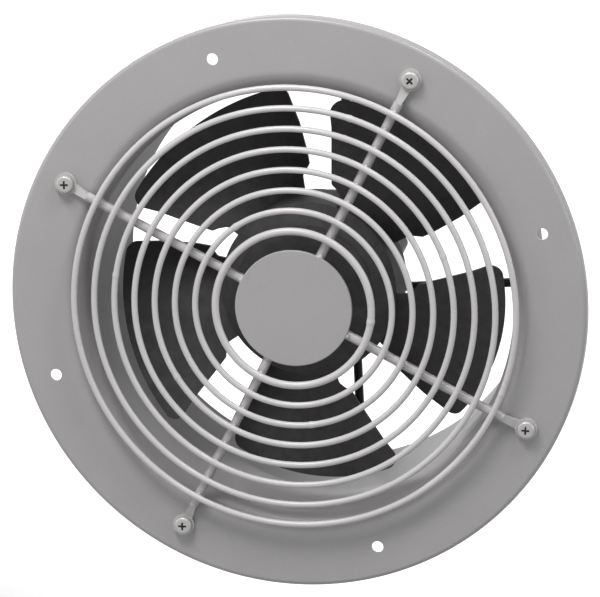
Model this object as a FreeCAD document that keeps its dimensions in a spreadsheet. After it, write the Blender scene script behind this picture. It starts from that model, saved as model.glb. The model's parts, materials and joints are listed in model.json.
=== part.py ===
import FreeCAD, Part
import math
import os
import Sketcher

from FreeCAD import Placement, Rotation, Vector

# Axial wall fan. The fan axis is Y, the guarded inlet faces -Y and +Z is up.
# The origin is the centre of the flange's back face, which lies on the wall.

DOC = FreeCAD.newDocument("axial_fan")
SHEET = DOC.addObject("Spreadsheet::Sheet", "Sizes")

# Driving dimensions in millimetres and degrees: name, value, meaning
DRIVING = [
    ("flange_dia", 370, "outside of the folded edge"),
    ("plate", 1.5, "sheet of flange and tube"),
    ("edge_bend", 3, "outer radius of the folded edge"),
    ("lip_depth", 9, "front face to the back of the folded edge"),
    ("bell_radius", 14, "rounding of the inlet, on the air side"),
    ("flange_width", 48, "flange outside to the bore of the air tube"),
    ("tube_reach", 140, "flange front to tube end"),
    ("bolt_inset", 20, "wall holes and guard screws, in from the flange outside"),
    ("bolt_hole", 7.5, "wall hole"),
    ("guard_thread", 6, "thread of the guard screws"),
    ("thread_clear", 0.3, "radial clearance of a screw in its hole"),
    ("guard_head", 12, "head of a guard screw"),
    ("guard_head_height", 3.8, "height of that head"),
    ("guard_nut_flats", 10, "across flats of a guard nut"),
    ("guard_nut_height", 5, "height of a guard nut"),
    ("recess_length", 5.2, "cross recess, tip to tip"),
    ("recess_width", 1.3, "width of a recess arm"),
    ("recess_depth", 1.8, "depth of the recess"),
    ("spoke_dia", 6, "guard spoke"),
    ("spoke_gap", 0.2, "spoke clear of the flange face"),
    ("spoke_start", 22, "inner end of a spoke, from the axis"),
    ("weld_gap", 0.05, "gap left at a weld or a press seat"),
    ("eye_dia", 14, "flattened eye of a spoke"),
    ("eye_plate", 2.2, "thickness of the eye"),
    ("neck_length", 9, "run from round spoke to flat eye"),
    ("ring_wire", 4, "wire of the guard rings"),
    ("first_wire", 4.8, "wire of the innermost ring"),
    ("first_ring_dia", 100, "innermost ring, wire centre"),
    ("ring_cover", 4.7, "outermost ring past the bore of the tube"),
    ("disc_dia", 75, "guard centre disc"),
    ("disc_plate", 2, "thickness of the disc"),
    ("disc_round", 0.6, "rounded rim of the disc"),
    ("tip_gap", 10, "blade tips clear of the tube"),
    ("blade_wall", 3, "blade thickness along the axis"),
    ("blade_camber", 4, "bow of the blade along the axis"),
    ("blade_turn", 9.95, "rest angle of a blade's tip centre, degrees"),
    ("hub_nose_dia", 90, "hub at its face"),
    ("hub_slope", 19, "sloped part of the hub along the axis"),
    ("hub_clear", 13.5, "hub behind its slope, out from the motor fins"),
    ("hub_draft", 0.2, "widening of the hub to its open end"),
    ("hub_round", 7, "rounded edge of the hub face"),
    ("hub_wall", 3, "hub wall"),
    ("hub_face", 4, "hub face plate"),
    ("boss_dia", 28, "boss round the bush"),
    ("rib_wall", 2.5, "ribs inside the hub"),
    ("rib_depth", 24, "rib along the axis, behind the face plate"),
    ("bush_dia", 16, "metal bush in the hub"),
    ("shaft_dia", 10, "motor shaft"),
    ("shaft_thread", 8, "threaded shaft end"),
    ("nut_flats", 13, "impeller nut across flats"),
    ("nut_height", 6.5, "impeller nut"),
    ("washer_dia", 18, "impeller washer"),
    ("washer_plate", 1.5, "impeller washer thickness"),
    ("thread_stand", 2, "shaft end past the nut"),
    ("pin_dia", 3, "drive pin"),
    ("pin_length", 24, "drive pin"),
    ("motor_dia", 82, "motor housing"),
    ("motor_wall", 3, "motor housing wall"),
    ("motor_gap", 6.5, "boss end to motor front"),
    ("shield_plate", 5, "front shield and rear wall of the motor"),
    ("fin_height", 2.5, "cooling fins on the housing"),
    ("fin_wall", 2.5, "cooling fin thickness"),
    ("bearing_dia", 26, "ball bearing outside"),
    ("bearing_width", 8, "ball bearing width"),
    ("race_wall", 2.4, "bearing ring wall"),
    ("ball_dia", 4.76, "bearing ball"),
    ("ball_clear", 0.05, "ball clear of its grooves"),
    ("seat_wall", 4, "wall of a bearing seat"),
    ("spring_plate", 0.6, "preload washer thickness"),
    ("air_gap", 0.4, "rotor to stator"),
    ("cage_ring", 2, "end ring of the rotor cage"),
    ("cage_wall", 8, "radial width of the end ring"),
    ("stud_dia", 4, "motor through bolt"),
    ("stud_angle", 60, "first through bolt, degrees"),
    ("stud_head", 7, "through bolt head"),
    ("stud_head_height", 2.8, "through bolt head height"),
    ("stud_nut_flats", 7, "through bolt nut"),
    ("stud_nut_height", 3.2, "through bolt nut height"),
    ("carrier_clear", 2.5, "carrier outside, out from the motor fins"),
    ("carrier_plate", 4, "motor carrier ring thickness"),
    ("carrier_collar", 20, "collar of the carrier along the axis"),
    ("arm_dia", 6, "motor support rod"),
    ("arm_drop", 19, "distance of the level rods' line from the axis"),
    ("arm_side", 15, "distance of the upright rods' line from the axis"),
    ("box_width", 76, "terminal box"),
    ("box_depth", 36, "terminal box"),
    ("box_wall", 2.5, "terminal box wall"),
    ("box_round", 5, "terminal box corners"),
    ("box_screw_inset", 7, "box screws, in from the side of the box"),
    ("lid_plate", 4, "terminal box lid"),
    ("lid_screw", 3.5, "lid screw thread"),
    ("lid_head", 6.5, "lid screw head"),
    ("lid_head_height", 2, "lid screw head height"),
    ("lid_screw_length", 14, "lid screw under its head"),
    ("pillar_dia", 8, "screw pillar in the box"),
    ("block_height", 14, "terminal block"),
    ("block_depth", 16, "terminal block"),
    ("gland_thread", 16, "cable gland thread"),
    ("gland_bore", 8, "cable hole in the gland"),
    ("gland_flats", 20, "gland body across flats"),
    ("gland_collar", 5, "gland body collar"),
    ("gland_stem", 10, "gland stem under the dome nut"),
    ("dome_height", 12, "gland dome nut"),
    ("cut_over", 5, "overrun of every cut"),
]
# Lengths along the axis as shares of the tube's reach
HUB_START_SHARE = 0.18
HUB_SHARE = 0.415
BOSS_SHARE = 0.29
BLADE_SHARE = 0.407
ADVANCE_SHARE = 1.957
MOTOR_SHARE = 0.4
# Inner sizes of the motor as shares of the room between its bearings and of its outside
STACK_SHARE = 0.816
BORE_SHARE = 0.53
SLOT_RING_SHARE = 0.68
SLOT_SHARE = 0.07
WINDING_SHARE = 0.087
STUD_RING_SHARE = 0.83
# Carrier opening, box, capacitor and gland as shares of carrier, motor and box
OPENING_SHARE = 0.46
BOX_SHARE = 0.587
CAN_SHARE = 0.463
CAN_LENGTH_SHARE = 0.66
BLOCK_SHARE = 0.36
GLAND_SHARE = 0.35
TERMINAL_SHARES = (0.125, 0.375, 0.625, 0.875)
HEAD_ROUND_SHARE = 0.6
RECESS_TURN = 25
RIB_TURN = 30
RING_COUNT = 8
BLADE_COUNT = 5
RIB_COUNT = 6
FIN_COUNT = 24
SLOT_COUNT = 12
BALL_COUNT = 7
# Motor support rods: direction in degrees, distance from the axis and side of it
ARM_TURNS = ((31, "arm_drop", -1), (119, "arm_side", -1), (211, "arm_drop", 1), (299, "arm_side", 1))
SPOKE_ANGLES = (0, 90, 180, 270)
HOLE_ANGLES = (45, 135, 225, 315)

for number, (alias, size, meaning) in enumerate(DRIVING, start=1):
    SHEET.set("A%d" % number, meaning)
    SHEET.set("B%d" % number, str(size))
    SHEET.setAlias("B%d" % number, alias)
DOC.recompute()


class Size:
    """A length that knows both its value and the sheet expression behind it."""

    def __init__(self, value, text):
        self.value = float(value)
        self.text = text

    def join(self, sign, other, result):
        text = other.text if isinstance(other, Size) else repr(other)
        return Size(result, "(%s %s %s)" % (self.text, sign, text))

    def __add__(self, other):
        return self.join("+", other, self.value + number_of(other))

    def __sub__(self, other):
        return self.join("-", other, self.value - number_of(other))

    def __mul__(self, other):
        return self.join("*", other, self.value * number_of(other))

    def __truediv__(self, other):
        return self.join("/", other, self.value / number_of(other))

    def __neg__(self):
        return Size(-self.value, "(0 - %s)" % self.text)


def number_of(size):
    return size.value if isinstance(size, Size) else float(size)


def cell(alias):
    return Size(SHEET.get(alias), "Sizes." + alias)


def bind(thing, prop, size):
    if isinstance(size, Size):
        thing.setExpression(prop, size.text)
    else:
        setattr(thing, prop, size)


ZERO = Size(0, "0")
ALONG_Y = Rotation(Vector(1, 0, 0), -90)
PIECES = []


def piece(thing, label):
    """Give the finished sub-part its own name and note it for the export."""
    thing.Label = label
    PIECES.append(thing)
    return thing


def place(thing, x, y, z, rotation):
    thing.Placement = Placement(Vector(number_of(x), number_of(y), number_of(z)), rotation)
    for axis, size in (("x", x), ("y", y), ("z", z)):
        if isinstance(size, Size):
            thing.setExpression("Placement.Base." + axis, size.text)


def rod(name, radius, length, y, x=ZERO, z=ZERO, rotation=ALONG_Y):
    thing = DOC.addObject("Part::Cylinder", name)
    bind(thing, "Radius", radius)
    bind(thing, "Height", length)
    place(thing, x, y, z, rotation)
    return thing


def block(name, width, depth, height, x, y, z, rotation=Rotation()):
    thing = DOC.addObject("Part::Box", name)
    bind(thing, "Length", width)
    bind(thing, "Width", depth)
    bind(thing, "Height", height)
    place(thing, x, y, z, rotation)
    return thing


def torus(name, ring_radius, wire_radius, y):
    thing = DOC.addObject("Part::Torus", name)
    bind(thing, "Radius1", ring_radius)
    bind(thing, "Radius2", wire_radius)
    place(thing, ZERO, y, ZERO, ALONG_Y)
    return thing


def hexagon(name, flats, length, y, x=ZERO, z=ZERO, rotation=ALONG_Y):
    thing = DOC.addObject("Part::Prism", name)
    thing.Polygon = 6
    bind(thing, "Circumradius", flats / math.sqrt(3))
    bind(thing, "Height", length)
    place(thing, x, y, z, rotation)
    return thing


def cut(name, base, *tools):
    for number, tool in enumerate(tools):
        thing = DOC.addObject("Part::Cut", "%s_cut_%d" % (name, number))
        thing.Base = base
        thing.Tool = tool
        base = thing
    return base


def fuse(name, *shapes):
    thing = DOC.addObject("Part::MultiFuse", name + "_fuse")
    thing.Shapes = list(shapes)
    return thing


def compound(name, shapes):
    thing = DOC.addObject("Part::Compound", name + "_set")
    thing.Links = list(shapes)
    return thing


def tube(name, outer, inner, length, y):
    """A ring about the fan axis, from y to y + length."""
    solid = rod(name + "_outer", outer, length, y)
    bore = rod(name + "_bore", inner, length + cell("cut_over") * 2, y - cell("cut_over"))
    return cut(name, solid, bore)


def plane_of(body, role):
    for feature in body.Origin.OriginFeatures:
        if feature.Role == role:
            return feature
    raise ValueError("no plane " + role)


def outline_sketch(body, name, role, points, bends):
    """A closed outline whose corner places are bound to the sheet.

    bends maps a corner number to (radius, turn): the edge that leaves that corner is
    an arc of this radius, and turn is +1 if it runs counter-clockwise.
    """
    sketch = body.newObject("Sketcher::SketchObject", name)
    sketch.AttachmentSupport = (plane_of(body, role), [""])
    sketch.MapMode = "FlatFace"
    spots = [Vector(px.value, py.value, 0) for px, py in points]
    ends = []
    for number, spot in enumerate(spots):
        after = spots[(number + 1) % len(spots)]
        if number in bends:
            radius, turn = bends[number]
            ends.append(add_arc(sketch, spot, after, radius, turn))
        else:
            sketch.addGeometry(Part.LineSegment(spot, after), False)
            ends.append((1, 2))
    bind_outline(sketch, points, ends, bends)
    return sketch


def add_arc(sketch, start, end, radius, turn):
    """Draw the shorter arc and return which of its ends is first along the outline."""
    half = (end - start) * 0.5
    reach = math.sqrt(max(radius.value ** 2 - half.Length ** 2, 0))
    side = Vector(-half.y, half.x, 0).normalize() * turn
    centre = start + half + side * reach
    first = math.atan2(start.y - centre.y, start.x - centre.x)
    last = math.atan2(end.y - centre.y, end.x - centre.x)
    circle = Part.Circle(centre, Vector(0, 0, 1), radius.value)
    if turn > 0:
        sketch.addGeometry(Part.ArcOfCircle(circle, first, last), False)
        return 1, 2
    sketch.addGeometry(Part.ArcOfCircle(circle, last, first), False)
    return 2, 1


def bind_outline(sketch, points, ends, bends):
    count = len(points)
    for number in range(count):
        after = (number + 1) % count
        sketch.addConstraint(Sketcher.Constraint("Coincident", number, ends[number][1],
                                                 after, ends[after][0]))
    for number, (px, py) in enumerate(points):
        for kind, size in (("DistanceX", px), ("DistanceY", py)):
            where = (number, ends[number][0])
            index = sketch.addConstraint(Sketcher.Constraint(kind, -1, 1, *where, size.value))
            if size.text != "0":
                sketch.setExpression("Constraints[%d]" % index, size.text)
    for number, (radius, turn) in bends.items():
        index = sketch.addConstraint(Sketcher.Constraint("Radius", number, radius.value))
        sketch.setExpression("Constraints[%d]" % index, radius.text)


def revolved(name, points, bends=None):
    """A body turned about the fan axis from an outline of (radius, y) corners."""
    body = DOC.addObject("PartDesign::Body", name)
    sketch = outline_sketch(body, name + "_outline", "XY_Plane", points, bends or {})
    turn = body.newObject("PartDesign::Revolution", name + "_turn")
    turn.Profile = sketch
    turn.ReferenceAxis = (sketch, ["V_Axis"])
    turn.Angle = 360
    sketch.Visibility = False
    return body


def padded(name, role, points, length, bends=None, both=True):
    """A body extruded from an outline, on both sides of its plane if both is set."""
    body = DOC.addObject("PartDesign::Body", name)
    sketch = outline_sketch(body, name + "_outline", role, points, bends or {})
    pad = body.newObject("PartDesign::Pad", name + "_pad")
    pad.Profile = sketch
    pad.Midplane = both
    bind(pad, "Length", length)
    return body


def about_axis(thing, degrees):
    """Turn a piece made along +X about the fan axis, counter-clockwise seen from the front."""
    spin = Rotation(Vector(0, 1, 0), -degrees)
    turned = Placement(Vector(0, 0, 0), spin)
    thing.Placement = turned.multiply(thing.Placement)
    return thing


def polar(radius, degrees):
    """X and Z of a point at this angle, seen from the front."""
    angle = math.radians(degrees)
    return radius * math.cos(angle), radius * math.sin(angle)


OVER = cell("cut_over")
WELD = cell("weld_gap")
PLATE = cell("plate")
FRONT = -PLATE
BOLT_R = cell("flange_dia") / 2 - cell("bolt_inset")
REACH = cell("tube_reach")

# Flange, bell mouth and air tube
tube_r = cell("flange_dia") / 2 - cell("flange_width")
bell_r = cell("bell_radius")
bell_end = bell_r - PLATE
rim_r = cell("flange_dia") / 2
bend = cell("edge_bend")
lip_end = cell("lip_depth") - PLATE
flange_turn = revolved("flange_blank", [
    (tube_r, bell_end),
    (tube_r + bell_r, FRONT),
    (rim_r - bend, FRONT),
    (rim_r, bend - PLATE),
    (rim_r, lip_end),
    (rim_r - PLATE, lip_end),
    (rim_r - PLATE, bend - PLATE),
    (rim_r - bend, ZERO),
    (tube_r + bell_r, ZERO),
    (tube_r + PLATE, bell_end),
], {0: (bell_r, 1), 2: (bend, 1), 6: (bend - PLATE, -1), 8: (bell_r - PLATE, -1)})
hole_tools = []
screw_hole = cell("guard_thread") / 2 + cell("thread_clear")
for angles, radius in ((HOLE_ANGLES, cell("bolt_hole") / 2), (SPOKE_ANGLES, screw_hole)):
    for angle in angles:
        hole_x, hole_z = polar(BOLT_R, angle)
        tool = rod("flange_hole_%d" % angle, radius, PLATE + OVER * 2, FRONT - OVER, hole_x, hole_z)
        hole_tools.append(tool)
piece(cut("flange", flange_turn, compound("flange_holes", hole_tools)), "wall_flange")
tube_end = REACH - PLATE
piece(tube("tube", tube_r + PLATE, tube_r, tube_end - bell_end, bell_end), "air_tube")

# Guard: spokes with flattened eyes, wire rings in front of them, centre disc
spoke_r = cell("spoke_dia") / 2
spoke_y = FRONT - cell("spoke_gap") - spoke_r
NECK_SHARE = 0.69
neck_r = spoke_r * NECK_SHARE
eye_r = cell("eye_dia") / 2
eye_front = FRONT - cell("eye_plate")
flat_x = BOLT_R - eye_r
neck_x = flat_x - cell("neck_length")
eye_end = BOLT_R + eye_r
ALONG_X = Rotation(Vector(0, 1, 0), 90)
for number, angle in enumerate(SPOKE_ANGLES, start=1):
    name = "spoke_%d" % number
    bar = rod(name + "_bar", spoke_r, neck_x - cell("spoke_start") + WELD, spoke_y,
              x=cell("spoke_start"), rotation=ALONG_X)
    plan = padded(name + "_plan", "XZ_Plane", [
        (neck_x, -neck_r),
        (flat_x, -spoke_r),
        (BOLT_R, -eye_r),
        (BOLT_R, eye_r),
        (flat_x, spoke_r),
        (neck_x, neck_r),
    ], cell("spoke_dia") * 4)
    side = padded(name + "_side", "XY_Plane", [
        (neck_x, spoke_y - neck_r),
        (flat_x, eye_front),
        (eye_end, eye_front),
        (eye_end, FRONT),
        (flat_x, FRONT),
        (neck_x, spoke_y + neck_r),
    ], cell("eye_dia") * 2)
    neck = DOC.addObject("Part::MultiCommon", name + "_neck")
    neck.Shapes = [plan, side]
    eye = rod(name + "_eye", eye_r, cell("eye_plate"), eye_front, x=BOLT_R)
    drill = rod(name + "_drill", screw_hole, OVER * 4, FRONT - OVER * 2, x=BOLT_R)
    spoke = cut(name, fuse(name, bar, neck, eye), drill)
    piece(about_axis(spoke, angle), "guard_spoke_%d" % number)

ring_back = spoke_y - spoke_r - WELD
first_r = cell("first_ring_dia") / 2
ring_step = (tube_r + cell("ring_cover") - first_r) / (RING_COUNT - 1)
for number in range(RING_COUNT):
    wire_r = (cell("first_wire") if number == 0 else cell("ring_wire")) / 2
    ring_r = first_r + ring_step * number
    piece(torus("ring_%d" % (number + 1), ring_r, wire_r, ring_back - wire_r),
          "guard_ring_%d" % (number + 1))

disc_r = cell("disc_dia") / 2
disc_front = ring_back - cell("disc_plate")
disc_round = cell("disc_round")
piece(revolved("disc", [
    (ZERO, ring_back),
    (ZERO, disc_front),
    (disc_r - disc_round, disc_front),
    (disc_r, disc_front + disc_round),
    (disc_r, ring_back),
], {2: (disc_round, 1)}), "guard_disc")

# Guard screws with a cross recess, nuts behind the flange
thread_r = cell("guard_thread") / 2
head_r = cell("guard_head") / 2
head_top = eye_front - cell("guard_head_height")
head_round = cell("guard_head_height") * HEAD_ROUND_SHARE
screw_end = cell("guard_nut_height") + PLATE


def guard_screw(name, angle):
    blank = revolved(name + "_blank", [
        (ZERO, head_top),
        (head_r - head_round, head_top),
        (head_r, head_top + head_round),
        (head_r, eye_front),
        (thread_r, eye_front),
        (thread_r, screw_end),
        (ZERO, screw_end),
    ], {1: (head_round, 1)})
    long = cell("recess_length")
    slim = cell("recess_width")
    deep = cell("recess_depth") + OVER
    start = head_top - OVER
    flat_slot = block(name + "_slot_a", long, deep, slim, long / -2, start, slim / -2)
    tall_slot = block(name + "_slot_b", slim, deep, long, slim / -2, start, long / -2)
    screw = cut(name, blank, flat_slot, tall_slot)
    screw_x, screw_z = polar(BOLT_R, angle)
    place(screw, screw_x, ZERO, screw_z, Rotation(Vector(0, 1, 0), RECESS_TURN + angle))
    return screw


def nut(name, flats, height, y, bore, x=ZERO, z=ZERO):
    body = hexagon(name + "_hex", flats, height, y, x, z)
    hole = rod(name + "_bore", bore, height + OVER * 2, y - OVER, x, z)
    return cut(name, body, hole)


screws = [guard_screw("guard_screw_%d" % a, a) for a in SPOKE_ANGLES]
piece(compound("guard_screw", screws), "guard_screws")
guard_nuts = []
for angle in SPOKE_ANGLES:
    nut_x, nut_z = polar(BOLT_R, angle)
    guard_nuts.append(nut("guard_nut_%d" % angle, cell("guard_nut_flats"), cell("guard_nut_height"),
                          ZERO, thread_r + WELD, nut_x, nut_z))
piece(compound("guard_nut", guard_nuts), "guard_nuts")

# Impeller: a moulded hub with ribs and five twisted blades
tip_r = tube_r - cell("tip_gap")
motor_r = cell("motor_dia") / 2
fin_r = motor_r + cell("fin_height")
hub_front = REACH * HUB_START_SHARE - PLATE
hub_back = hub_front + REACH * HUB_SHARE
boss_length = REACH * BOSS_SHARE
boss_end = hub_front + boss_length
nose_r = cell("hub_nose_dia") / 2
hub_r = fin_r + cell("hub_clear")
hub_rear_r = hub_r + cell("hub_draft")
shoulder = hub_front + cell("hub_slope")
hub_wall = cell("hub_wall")
face_back = hub_front + cell("hub_face")
boss_r = cell("boss_dia") / 2
bush_r = cell("bush_dia") / 2
pin_r = cell("pin_dia") / 2
hub = revolved("hub", [
    (bush_r + WELD, hub_front),
    (nose_r - cell("hub_round"), hub_front),
    (nose_r, hub_front + cell("hub_round")),
    (hub_r, shoulder),
    (hub_rear_r, hub_back),
    (hub_rear_r - hub_wall, hub_back),
    (hub_r - hub_wall, shoulder + hub_wall / 2),
    (nose_r - hub_wall, face_back + hub_wall * 2),
    (nose_r - hub_wall * 2, face_back),
    (boss_r, face_back),
    (boss_r, boss_end),
    (bush_r + WELD, boss_end),
], {1: (cell("hub_round"), 1)})
pin_groove = rod("pin_groove", pin_r + WELD, cell("pin_length") + WELD * 2, boss_end,
                 x=-(cell("pin_length") / 2 + WELD), rotation=ALONG_X)
DOC.recompute()

# Blade outline seen from the front: share of the way from hub to tip, degrees from the tip centre
LEAD_SHARES = ((1.0, 27.8), (0.728, 25.8), (0.343, 23.2), (0.21, 21.8),
               (0.175, 19.2), (0.115, 16.0), (-0.161, 16.0))
TRAIL_SHARES = ((-0.161, -29.1), (0.149, -29.1), (0.243, -32.7),
                (0.358, -32.3), (0.643, -30.6), (1.0, -28.0))
# Rounded corners of that outline: corner number, radius as a share of the blade's span
ROUND_SHARES = ((0, 0.11), (3, 0.034), (5, 0.043), (8, 0.043), (-1, 0.1))
ROOT_SHARE = 0.30
REACH_SHARE = 1.10
SPREAD_SHARE = 0.78


def at_polar(radius, degrees, y):
    angle = math.radians(degrees)
    return Vector(radius * math.cos(angle), y, radius * math.sin(angle))


def blade_plan(low, high):
    """The blade's outline as an upright prism with rounded tip corners."""
    span = (tip_r - hub_r).value
    corners = [at_polar(hub_r.value + span * share, degrees, low)
               for share, degrees in LEAD_SHARES + TRAIL_SHARES]
    edges = [Part.makeLine(a, b) for a, b in zip(corners, corners[1:])]
    edges.append(Part.Arc(corners[-1], at_polar(tip_r.value, 0, low), corners[0]).toShape())
    prism = Part.Face(Part.Wire(edges)).extrude(Vector(0, high - low, 0))
    for number, share in ROUND_SHARES:
        prism = prism.makeFillet(span * share, upright_at(prism, corners[number]))
    return prism


def upright_at(prism, corner):
    """The prism's edge that runs along the axis through this corner."""
    found = []
    for edge in prism.Edges:
        start, end = edge.Vertexes[0].Point, edge.Vertexes[-1].Point
        aside = (start - corner).cross(Vector(0, 1, 0)).Length + (end - corner).cross(Vector(0, 1, 0)).Length
        if edge.Length > WELD.value and aside < WELD.value:
            found.append(edge)
    return found


def blade_skin(middle):
    """A twisted, bowed sheet: the same axial run at every radius, so the pitch falls outward."""
    run = (REACH * ADVANCE_SHARE).value * math.atan(SPREAD_SHARE) / (2 * math.pi)
    half = cell("blade_wall").value / 2
    bow = cell("blade_camber").value
    wires = []
    for share in (ROOT_SHARE, REACH_SHARE):
        radius = tip_r.value * share
        wide = radius * SPREAD_SHARE
        ends = []
        for side in (-half, half):
            ends.append((Vector(radius, middle - run + side, wide),
                         Vector(radius, middle - bow + side, 0),
                         Vector(radius, middle + run + side, -wide)))
        front, back = ends
        wires.append(Part.Wire([
            Part.Arc(front[0], front[1], front[2]).toShape(),
            Part.makeLine(front[2], back[2]),
            Part.Arc(back[2], back[1], back[0]).toShape(),
            Part.makeLine(back[0], front[0]),
        ]))
    return Part.makeLoft(wires, True, True)


def impeller_shape():
    axis = Vector(0, 1, 0)
    middle = (REACH * BLADE_SHARE - PLATE + cell("blade_camber") / 2).value
    plan = blade_plan(hub_front.value, tube_end.value)
    core = Part.makeCylinder(hub_r.value - hub_wall.value / 2, tube_end.value, Vector(0, 0, 0), axis)
    blade = blade_skin(middle).common(plan).cut(core)
    shape = hub.Shape
    parts = []
    for number in range(BLADE_COUNT):
        turned = blade.copy()
        turned.rotate(Vector(0, 0, 0), axis, -(cell("blade_turn").value + 360 / BLADE_COUNT * number))
        parts.append(turned)
    rib_wall = cell("rib_wall").value
    rib_long = (nose_r - hub_wall - boss_r).value
    rib = Part.makeBox(rib_long, cell("rib_depth").value, rib_wall,
                       Vector(boss_r.value - rib_wall / 2, face_back.value - rib_wall / 2, -rib_wall / 2))
    for number in range(RIB_COUNT):
        turned = rib.copy()
        turned.rotate(Vector(0, 0, 0), axis, 360 / RIB_COUNT * number + RIB_TURN)
        parts.append(turned)
    shape = shape.multiFuse(parts)
    return shape.cut(pin_groove.Shape).removeSplitter()


impeller = DOC.addObject("Part::Feature", "impeller_form")
impeller.Shape = impeller_shape()
piece(impeller, "impeller")

# Shaft, bush, drive pin, washer and nut
shaft_r = cell("shaft_dia") / 2
screw_r = cell("shaft_thread") / 2
washer_front = hub_front - cell("washer_plate")
nut_front = washer_front - cell("nut_height")
motor_front = boss_end + cell("motor_gap")
shield_back = motor_front + cell("shield_plate")
motor_length = REACH * MOTOR_SHARE
motor_back = motor_front + motor_length
wall_front = motor_back - cell("shield_plate")
bearing_back = wall_front - cell("spring_plate")
step_y = hub_front + PLATE
shaft_blank = revolved("shaft", [
    (ZERO, nut_front - cell("thread_stand")),
    (screw_r, nut_front - cell("thread_stand")),
    (screw_r, step_y),
    (shaft_r, step_y),
    (shaft_r, bearing_back),
    (ZERO, bearing_back),
])
pin_hole = rod("pin_hole", pin_r + WELD, cell("pin_length"), boss_end,
               x=cell("pin_length") / -2, rotation=ALONG_X)
piece(cut("shaft", shaft_blank, pin_hole), "motor_shaft")
bush_blank = tube("bush", bush_r, shaft_r + WELD, boss_length, hub_front)
piece(cut("bush_groove", bush_blank, pin_groove), "hub_bush")
piece(rod("pin", pin_r, cell("pin_length"), boss_end, x=cell("pin_length") / -2, rotation=ALONG_X),
      "drive_pin")
piece(tube("washer", cell("washer_dia") / 2, screw_r + cell("thread_clear"), cell("washer_plate"),
           washer_front), "impeller_washer")
piece(nut("shaft_nut", cell("nut_flats"), cell("nut_height"), nut_front, screw_r + WELD), "impeller_nut")

# Motor: shields, stacks, winding, bearings and through bolts
motor_in = motor_r - cell("motor_wall")
bearing_r = cell("bearing_dia") / 2
seat_r = bearing_r + WELD
seat_out = bearing_r + cell("seat_wall")
race = cell("race_wall")
front_bearing = shield_back
rear_bearing = bearing_back - cell("bearing_width")
stud_r = cell("stud_dia") / 2
stud_ring = motor_r * STUD_RING_SHARE
first = cell("stud_angle").value
STUD_ANGLES = (first, 180 - first, 180 + first, 360 - first)


def stud_holes(name):
    tools = []
    for number, angle in enumerate(STUD_ANGLES):
        stud_x, stud_z = polar(stud_ring, angle)
        tools.append(rod("%s_stud_%d" % (name, number), stud_r + cell("thread_clear"),
                         motor_length * 2, motor_front - OVER, stud_x, stud_z))
    return compound(name + "_studs", tools)


shield = revolved("shield", [
    (bearing_r - race - PLATE / 2, motor_front),
    (motor_r, motor_front),
    (motor_r, shield_back),
    (seat_out, shield_back),
    (seat_out, shield_back + cell("bearing_width")),
    (seat_r, shield_back + cell("bearing_width")),
    (seat_r, shield_back),
    (bearing_r - race - PLATE / 2, shield_back),
])
piece(cut("shield", shield, stud_holes("shield")), "motor_front_shield")
cup = revolved("cup", [
    (motor_r, shield_back),
    (motor_r, motor_back),
    (ZERO, motor_back),
    (ZERO, wall_front),
    (seat_r, wall_front),
    (seat_r, rear_bearing),
    (seat_out, rear_bearing),
    (seat_out, wall_front),
    (motor_in, wall_front),
    (motor_in, shield_back),
])
fin_wall = cell("fin_wall")
fins = [cup]
for number in range(FIN_COUNT):
    fin = block("fin_%d" % number, fin_r - motor_r + PLATE, motor_length - cell("shield_plate") * 3,
                fin_wall, motor_r - PLATE, shield_back + cell("shield_plate"), fin_wall / -2)
    holder = compound("fin_turn_%d" % number, [fin])
    fins.append(about_axis(holder, 360 / FIN_COUNT * (number + 0.5)))
piece(cut("cup", fuse("cup", *fins), stud_holes("cup")), "motor_housing")

stack = (rear_bearing - front_bearing - cell("bearing_width")) * STACK_SHARE
stack_front = (shield_back + wall_front - stack) / 2
stack_back = stack_front + stack
bore_r = motor_r * BORE_SHARE
slot_ring = motor_r * SLOT_RING_SHARE
slot_r = motor_r * SLOT_SHARE
slots = []
for number in range(SLOT_COUNT):
    slot_x, slot_z = polar(slot_ring, 360 / SLOT_COUNT * number)
    slots.append(rod("slot_%d" % number, slot_r, stack + OVER * 2, stack_front - OVER, slot_x, slot_z))
stator = tube("stator", motor_in - WELD, bore_r, stack, stack_front)
piece(cut("stator_slots", stator, compound("slots", slots), stud_holes("stator")), "stator_core")
coil_r = motor_r * WINDING_SHARE
coils = [torus("coil_front", slot_ring, coil_r, stack_front - coil_r - WELD),
         torus("coil_rear", slot_ring, coil_r, stack_back + coil_r + WELD)]
piece(compound("coils", coils), "stator_winding")
rotor_r = bore_r - cell("air_gap")
cage_in = rotor_r - cell("cage_wall") / 2
cage = cell("cage_ring")
piece(revolved("rotor", [
    (shaft_r + WELD, stack_front),
    (cage_in, stack_front),
    (cage_in, stack_front - cage),
    (rotor_r - WELD, stack_front - cage),
    (rotor_r - WELD, stack_front),
    (rotor_r, stack_front),
    (rotor_r, stack_back),
    (rotor_r - WELD, stack_back),
    (rotor_r - WELD, stack_back + cage),
    (cage_in, stack_back + cage),
    (cage_in, stack_back),
    (shaft_r + WELD, stack_back),
]), "rotor_core")

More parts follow.
